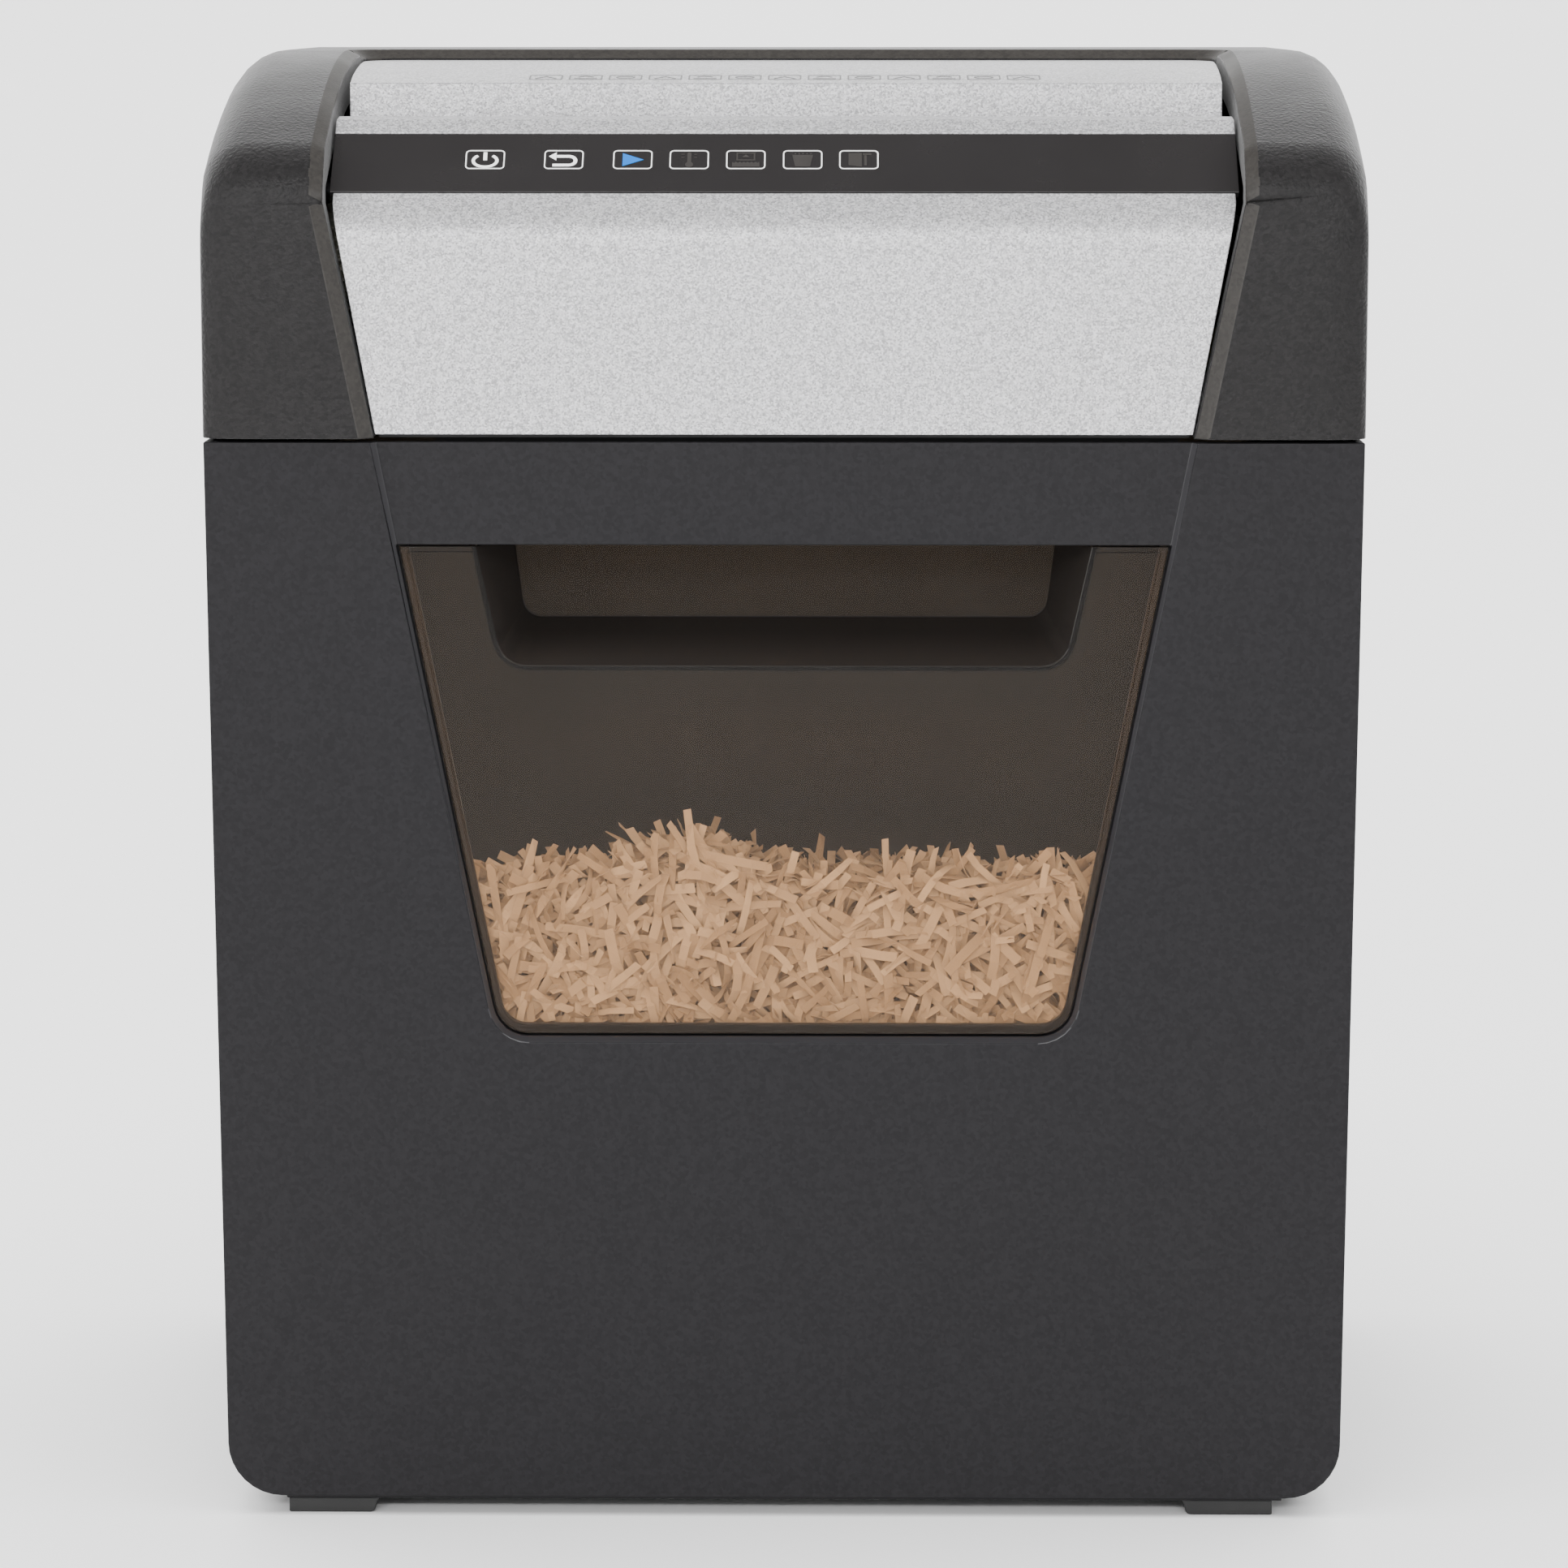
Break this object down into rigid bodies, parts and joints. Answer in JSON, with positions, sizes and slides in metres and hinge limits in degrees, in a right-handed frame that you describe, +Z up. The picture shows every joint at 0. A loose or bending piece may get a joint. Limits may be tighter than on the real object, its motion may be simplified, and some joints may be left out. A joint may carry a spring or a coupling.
{
  "type": "paper shredder",
  "caption": "Upright cross-cut paper shredder: dark case, silver fascia and top plate, sloped touch strip, pull-out bin with a smoky window and a grip scoop.",
  "frame": {"origin": "on the floor, under the middle of the case", "axes": "+Z up, -Y out of the front where the bin pulls out, +X to the right seen from the front"},
  "size_m": [0.354, 0.27, 0.454],
  "materials": {
    "cover_plastic": "spark-textured dark grey ABS",
    "silver_paint": "satin silver metallic paint on moulded plastic",
    "gloss_strip": "high gloss black-brown overlay",
    "cabinet_plastic": "fine-textured charcoal plastic",
    "panel_plastic": "satin charcoal plastic, slightly blue",
    "smoky_window": "clear smoky brown polycarbonate",
    "bin_plastic": "black moulded plastic",
    "shredded_paper": "loose cross-cut shreds",
    "foot_rubber": "matt black",
    "zinc_steel": "zinc plated",
    "cutter_steel": "hardened and oiled",
    "gear_steel": "sintered steel",
    "bush_bronze": "sintered bronze",
    "nylon": "natural nylon",
    "motor_steel": "laminated steel",
    "coil_copper": "enamelled copper",
    "cast_aluminium": "die cast",
    "black_moulding": "black nylon",
    "board_green": "solder mask",
    "board_parts": "mixed housings",
    "led_lens": "clear epoxy",
    "white_moulding": "white nylon",
    "magnet": "nickel plated",
    "wire_sleeve": "PVC sleeving"
  },
  "bodies": {
    "case": {"head_cover": "cover_plastic", "fascia_panel": "silver_paint", "control_strip": "gloss_strip", "entry_lip": "silver_paint", "entry_plate": "silver_paint", "head_tray": "bin_plastic", "cutter_plate_left": "zinc_steel", "cutter_plate_right": "zinc_steel", "tie_rods": "zinc_steel", "cutter_bearings": "bush_bronze", "front_stripper_comb": "nylon", "rear_stripper_comb": "nylon", "gear_axles": "zinc_steel", "gearbox_plate": "zinc_steel", "gearbox_spacers": "zinc_steel", "motor_stator": "motor_steel", "motor_field_coils": "coil_copper", "motor_brackets": "cast_aluminium", "motor_brush_holders": "black_moulding", "motor_cradle": "black_moulding", "thermal_cutout": "white_moulding", "power_board": "board_green", "power_components": "board_parts", "control_board": "board_green", "indicator_leds": "led_lens", "paper_sensors": "black_moulding", "power_switch_body": "black_moulding", "cord_gland": "black_moulding", "wiring_harness": "wire_sleeve", "bin_reed_switch": "white_moulding", "head_screws": "zinc_steel", "cabinet_body": "cabinet_plastic", "guide_rails": "bin_plastic", "feet": "foot_rubber", "foot_screws": "zinc_steel"},
    "bin": {"bin_front_panel": "panel_plastic", "bin_window": "smoky_window", "bin_tub": "bin_plastic", "bin_screws": "zinc_steel", "bin_magnet": "magnet", "shredded_paper": "shredded_paper"},
    "front_cutter": {"front_cutter_shaft": "cutter_steel", "front_cutter_discs": "cutter_steel", "front_spacer_rings": "cutter_steel", "front_cutter_gear": "gear_steel", "front_shaft_clip": "cutter_steel"},
    "rear_cutter": {"rear_cutter_shaft": "cutter_steel", "rear_cutter_discs": "cutter_steel", "rear_spacer_rings": "cutter_steel", "rear_cutter_gear": "gear_steel", "drive_gear": "gear_steel", "rear_shaft_clip": "cutter_steel"},
    "slow_gears": {"gear_cluster_slow": "nylon"},
    "fast_gears": {"gear_cluster_fast": "nylon"},
    "rotor": {"motor_armature": "motor_steel", "motor_shaft": "motor_steel", "motor_commutator": "coil_copper", "motor_fan": "black_moulding", "motor_pinion": "bush_bronze"},
    "rocker": {"power_rocker": "black_moulding"}
  },
  "joints": [
    {"name": "bin_slide", "type": "slide", "parent": "case", "child": "bin", "axis": [0, -1, 0], "range_m": [0, 0.22]},
    {"name": "motor_rotor_spin", "type": "hinge", "parent": "case", "child": "rotor", "pos_m": [-0.06, 0.04092, 0.37884], "axis": [1, 0, 0], "continuous": true},
    {"name": "fast_gears_spin", "type": "hinge", "parent": "case", "child": "fast_gears", "pos_m": [-0.15, 0.01212, 0.37884], "axis": [1, 0, 0], "continuous": true},
    {"name": "slow_gears_spin", "type": "hinge", "parent": "case", "child": "slow_gears", "pos_m": [-0.136, -0.02333, 0.38509], "axis": [1, 0, 0], "continuous": true},
    {"name": "rear_cutter_spin", "type": "hinge", "parent": "case", "child": "rear_cutter", "pos_m": [0.007, -0.061, 0.375], "axis": [1, 0, 0], "continuous": true},
    {"name": "front_cutter_spin", "type": "hinge", "parent": "case", "child": "front_cutter", "pos_m": [0.007, -0.102, 0.375], "axis": [1, 0, 0], "continuous": true},
    {"name": "power_rocker_tilt", "type": "hinge", "parent": "case", "child": "rocker", "pos_m": [0.112, 0.1274, 0.372], "axis": [1, 0, 0], "range_deg": [0, 18]}
  ],
  "couplings": [
    {"joint": "fast_gears_spin", "follows": "motor_rotor_spin", "ratio": -0.2},
    {"joint": "slow_gears_spin", "follows": "motor_rotor_spin", "ratio": 0.04},
    {"joint": "rear_cutter_spin", "follows": "motor_rotor_spin", "ratio": -0.012},
    {"joint": "front_cutter_spin", "follows": "motor_rotor_spin", "ratio": 0.012}
  ]
}
